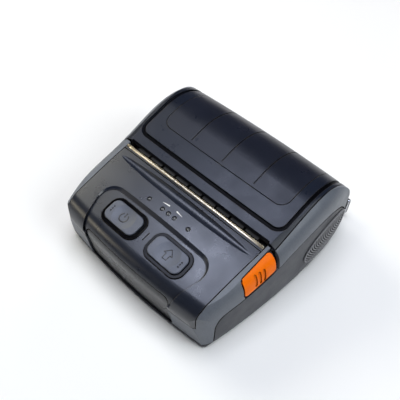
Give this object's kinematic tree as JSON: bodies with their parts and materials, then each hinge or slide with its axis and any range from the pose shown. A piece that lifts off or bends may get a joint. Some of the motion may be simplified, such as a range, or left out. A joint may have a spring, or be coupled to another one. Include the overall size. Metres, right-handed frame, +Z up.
{
  "type": "portable thermal printer",
  "caption": "Low wedge-shaped receipt printer with hinged paper door, release lever, two keys, slide-out battery, tear bar and belt clip",
  "frame": {"origin": "centre of the footprint, on the surface that the feet stand on", "axes": "+X to the right seen from the buttons' side, +Y from the buttons to the belt clip, +Z up"},
  "size_m": [0.1426, 0.1548, 0.065],
  "materials": {
    "case_grey_dark": "fine satin moulding",
    "case_grey": "satin grey moulding",
    "panel_black": "satin blue-black moulding",
    "cover_black": "satin blue-black moulding",
    "insert_black": "satin blue-black moulding",
    "strip_black": "satin black moulding",
    "plate_black": "half-gloss black moulding",
    "bezel_black": "polished black",
    "button_black": "satin key cap",
    "lever_orange": "satin orange moulding",
    "inner_black": "plain black moulding",
    "blade_steel": "warm plated edge",
    "steel": "bright steel",
    "sheet_steel": "galvanised sheet",
    "heat_sink_metal": "extruded, matt",
    "ceramic": "glazed ceramic",
    "rubber_black": "smooth black rubber",
    "grip_rubber": "ribbed grey rubber",
    "gear_white": "acetal",
    "motor_metal": "zinc-plated can",
    "board_green": "solder mask",
    "chip_black": "moulded package",
    "socket_metal": "plated shell",
    "lens_clear": "frosted light pipe",
    "led_white": "lamp package",
    "contact_gold": "plated springs in a black housing",
    "battery_shell": "satin black case",
    "clip_black": "satin black moulding",
    "cap_silver": "bright ring",
    "foot_rubber": "matt rubber",
    "bronze": "sintered bearing",
    "screw_black": "blackened steel"
  },
  "bodies": {
    "case": {"lower_case": "case_grey_dark", "upper_case": "case_grey", "front_panel": "panel_black", "head_cover": "strip_black", "tear_bar": "blade_steel", "button_bezels": "bezel_black", "key_board": "board_green", "key_switches": "chip_black", "key_screws": "steel", "status_lenses": "lens_clear", "status_leds": "led_white", "lever_guide": "inner_black", "lever_pin": "steel", "hook_pin": "steel", "hinge_pins": "steel", "idler_axle": "steel", "motor": "motor_metal", "motor_screws": "steel", "mech_frame": "sheet_steel", "paper_bay": "inner_black", "paper_sensor": "chip_black", "case_screws": "screw_black", "main_board": "board_green", "board_chips": "chip_black", "board_screws": "steel", "usb_socket": "socket_metal", "charge_socket": "chip_black", "battery_contacts": "contact_gold", "grip_pads": "grip_rubber", "clip_pins": "steel", "clip_springs": "steel", "rubber_feet": "foot_rubber"},
    "door": {"door_cover": "cover_black", "cover_insert": "insert_black", "door_shell": "case_grey", "door_liner": "inner_black", "platen_bushes": "bronze"},
    "platen": {"platen_shaft": "steel", "platen_roller": "rubber_black", "platen_gear": "gear_white"},
    "idler": {"idler_gear": "gear_white"},
    "pinion": {"motor_pinion": "gear_white"},
    "head": {"print_head": "ceramic", "heat_sink": "heat_sink_metal", "head_springs": "steel"},
    "lever": {"release_lever": "lever_orange"},
    "hook": {"latch_hook": "sheet_steel"},
    "power_key": {"power_button": "button_black"},
    "feed_key": {"feed_button": "button_black"},
    "battery": {"battery_plate": "plate_black", "battery_pack": "battery_shell"},
    "battery_slide": {"battery_latch": "inner_black"},
    "port_flap": {"port_cover": "rubber_black"},
    "clip": {"belt_clip": "clip_black", "clip_caps": "cap_silver"}
  },
  "joints": [
    {"name": "door_open", "type": "hinge", "parent": "case", "child": "door", "pos_m": [0, 0.0646, 0.0246], "axis": [-1, 0, 0], "range_deg": [0, 88]},
    {"name": "platen_turn", "type": "hinge", "parent": "door", "child": "platen", "pos_m": [0, -0.0126, 0.0413], "axis": [1, 0, 0], "continuous": true},
    {"name": "idler_turn", "type": "hinge", "parent": "case", "child": "idler", "pos_m": [-0.0608, -0.01468, 0.02948], "axis": [1, 0, 0], "continuous": true},
    {"name": "pinion_turn", "type": "hinge", "parent": "case", "child": "pinion", "pos_m": [-0.0608, -0.02163, 0.02121], "axis": [1, 0, 0], "continuous": true},
    {"name": "head_rock", "type": "hinge", "parent": "case", "child": "head", "pos_m": [0, -0.022, 0.0372], "axis": [1, 0, 0], "range_deg": [0, 1.5], "stiffness_Nm_per_rad": 8, "springref_deg": -1.15},
    {"name": "lever_lift", "type": "hinge", "parent": "case", "child": "lever", "pos_m": [0.0623, -0.042, 0.0442], "axis": [1, 0, 0], "range_deg": [0, 22], "stiffness_Nm_per_rad": 0.02, "springref_deg": -17.19},
    {"name": "hook_swing", "type": "hinge", "parent": "case", "child": "hook", "pos_m": [0.0605, -0.024, 0.021], "axis": [1, 0, 0], "range_deg": [0, 8]},
    {"name": "power_press", "type": "slide", "parent": "case", "child": "power_key", "axis": [0.0104, 0.2498, -0.9682], "range_m": [0, 0.0007], "stiffness_N_per_m": 1500, "springref_m": -0.0005},
    {"name": "feed_press", "type": "slide", "parent": "case", "child": "feed_key", "axis": [-0.0104, 0.2498, -0.9682], "range_m": [0, 0.0007], "stiffness_N_per_m": 1500, "springref_m": -0.0005},
    {"name": "battery_out", "type": "slide", "parent": "case", "child": "battery", "axis": [0, -1, 0], "range_m": [0, 0.05]},
    {"name": "battery_slide_move", "type": "slide", "parent": "case", "child": "battery_slide", "axis": [0, 1, 0], "range_m": [0, 0.003], "stiffness_N_per_m": 300, "springref_m": -0.001},
    {"name": "flap_open", "type": "hinge", "parent": "case", "child": "port_flap", "pos_m": [-0.06875, -0.0145, 0.0072], "axis": [0.0675, -0.9977, 0], "range_deg": [0, 100]},
    {"name": "clip_swing", "type": "hinge", "parent": "case", "child": "clip", "pos_m": [0, 0.07625, 0.0148], "axis": [1, 0, 0], "range_deg": [0, 22], "stiffness_Nm_per_rad": 0.3, "springref_deg": -5.73}
  ],
  "couplings": [
    {"joint": "idler_turn", "follows": "platen_turn", "ratio": -0.66667},
    {"joint": "pinion_turn", "follows": "platen_turn", "ratio": 1.3333},
    {"joint": "hook_swing", "follows": "lever_lift", "ratio": 0.3636}
  ]
}
